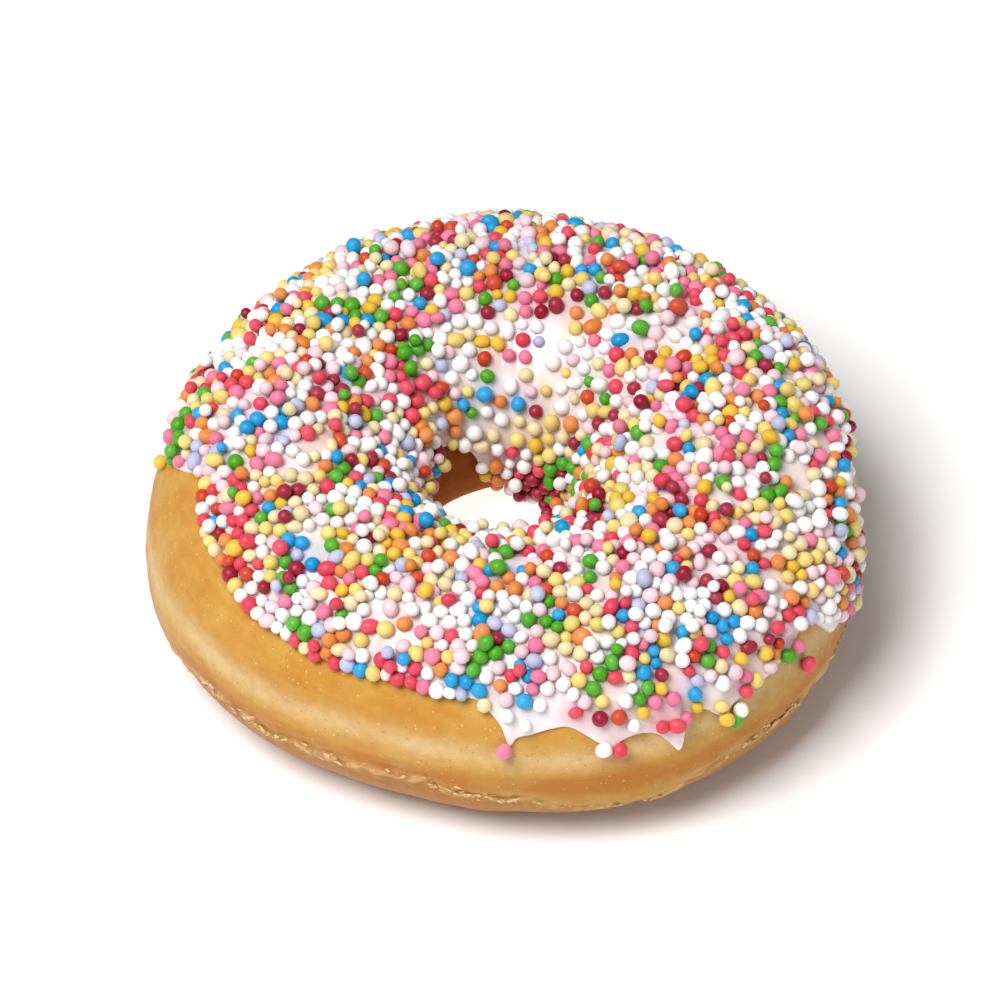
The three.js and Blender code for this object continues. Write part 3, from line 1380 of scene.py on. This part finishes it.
@dataclass
class Studio:
    """A white floor, soft light from the left and a long-lens camera."""

    target: Vector
    distance: float = 600.0
    elevation: float = 46.0
    roll: float = -4.0
    lens: float = 180.4
    aside: tuple[float, float] = (-1.2, 2.83)
    lamps: tuple[Lamp, ...] = (
        Lamp("key", (-225, -205, 610), 380, 6.1),
        Lamp("fill", (400, -400, 250), 350, 0.7),
    )
    room_light: float = 0.20
    floor_reach: float = 3000.0
    floor_drop: float = 0.02
    disc_radius: float = 19.0
    disc_sides: int = 48
    disc_drop: float = 0.01
    disc_glow: float = 0.85

    def build(self) -> None:
        """Makes the floor, the lights, the world and the camera."""
        self._floor()
        self._lights()
        self._camera()

    def _floor(self) -> None:
        """A wide white floor."""
        size = self.floor_reach * MM
        mesh = bpy.data.meshes.new("floor")
        corners = [(-size, -size, 0), (size, -size, 0), (size, size, 0), (-size, size, 0)]
        mesh.from_pydata(corners, [], [(0, 1, 2, 3)])
        floor = bpy.data.objects.new("floor", mesh)
        floor.location.z = -self.floor_drop * MM
        bpy.context.scene.collection.objects.link(floor)
        material, _, shader = new_material("white_floor")
        shader.inputs["Base Color"].default_value = (0.93, 0.93, 0.93, 1)
        shader.inputs["Roughness"].default_value = 0.9
        shader.inputs["Specular IOR Level"].default_value = 0.0
        mesh.materials.append(material)
        self._light_table()

    def _light_table(self) -> None:
        """A small disc under the hole that glows as painted light, so that the floor shows white through it.
        """
        x, y, radius, sides = self.target.x, self.target.y, self.disc_radius, self.disc_sides
        points = [(x, y, 0)]
        points += [
            (x + radius * math.cos(a), y + radius * math.sin(a), 0)
            for a in np.linspace(0, 2 * math.pi, sides, endpoint=False)
        ]
        mesh = bpy.data.meshes.new("light_table")
        faces = [(0, 1 + i, 1 + (i + 1) % sides) for i in range(sides)]
        mesh.from_pydata([tuple(c * MM for c in p) for p in points], [], faces)
        disc = bpy.data.objects.new("light_table", mesh)
        disc.location.z = -self.disc_drop * MM
        bpy.context.scene.collection.objects.link(disc)
        material, _, shader = new_material("painted_glow_disc")
        shader.inputs["Base Color"].default_value = (0.9, 0.9, 0.9, 1)
        # Painted light: the disc glows on its own and is no lamp.
        shader.inputs["Emission Color"].default_value = (1.0, 1.0, 1.0, 1)
        shader.inputs["Emission Strength"].default_value = self.disc_glow
        mesh.materials.append(material)

    def _lights(self) -> None:
        """A broad key light from the left, a weak fill in front and a white world."""
        world = bpy.data.worlds.new("white_room")
        world.use_nodes = True
        world.node_tree.nodes["Background"].inputs["Color"].default_value = (1.0, 1.0, 1.0, 1)
        world.node_tree.nodes["Background"].inputs["Strength"].default_value = self.room_light
        bpy.context.scene.world = world
        for lamp in self.lamps:
            self._area(lamp)

    def _area(self, lamp: Lamp) -> None:
        """An area light that points at the target.

        Args:
            lamp: the light.
        """
        light = bpy.data.lights.new(lamp.name, "AREA")
        light.shape = "SQUARE"
        light.size = lamp.size * MM
        light.energy = lamp.power
        stand = bpy.data.objects.new(lamp.name, light)
        stand.location = Vector(lamp.place) * MM
        stand.rotation_euler = (self.target * MM - stand.location).to_track_quat("-Z", "Y").to_euler()
        bpy.context.scene.collection.objects.link(stand)

    def _camera(self) -> None:
        """A long-lens camera in front of the doughnut, looking down on it."""
        data = bpy.data.cameras.new("camera")
        data.lens = self.lens
        data.sensor_width = 36.0
        camera = bpy.data.objects.new("camera", data)
        angle = math.radians(self.elevation)
        back = Vector((0, -math.cos(angle), math.sin(angle)))
        turn = (-back).to_track_quat("-Z", "Y").to_matrix() @ Matrix.Rotation(math.radians(self.roll), 3, "Z")
        place = self.target + back * self.distance + turn @ Vector((*self.aside, 0))
        camera.matrix_world = Matrix.Translation(place * MM) @ turn.to_4x4()
        bpy.context.scene.collection.objects.link(camera)
        bpy.context.scene.camera = camera
        bpy.context.scene.view_settings.view_transform = "Standard"


def main() -> None:
    """Builds the doughnut piece by piece and reports each one."""
    logging.basicConfig(level=logging.INFO, format="%(name)s: %(message)s")
    form = RingForm()
    mottling, speckles = mottling_group(), speckle_group()
    icing = IcingCoat(form, WhiteIcing())
    balls = SprinkleScatter(form, icing).scatter()
    dough = DoughRing(form, FriedDough())
    dough_piece = dough.build(mottling, speckles)
    log.info("%s: %d faces", dough_piece.name, len(dough_piece.data.polygons))
    flakes = CrustFlakes(dough).build()
    log.info("%s: %d faces", flakes.name, len(flakes.data.polygons))
    icing_piece = icing.build(balls, mottling)
    log.info("%s: %d faces", icing_piece.name, len(icing_piece.data.polygons))
    pieces = Sprinkles(balls).build(mottling)
    log.info("%d sprinkle pieces", len(pieces))
    Studio(target=Vector((*form.hole_axis, 12.0))).build()


if __name__ == "__main__":
    main()
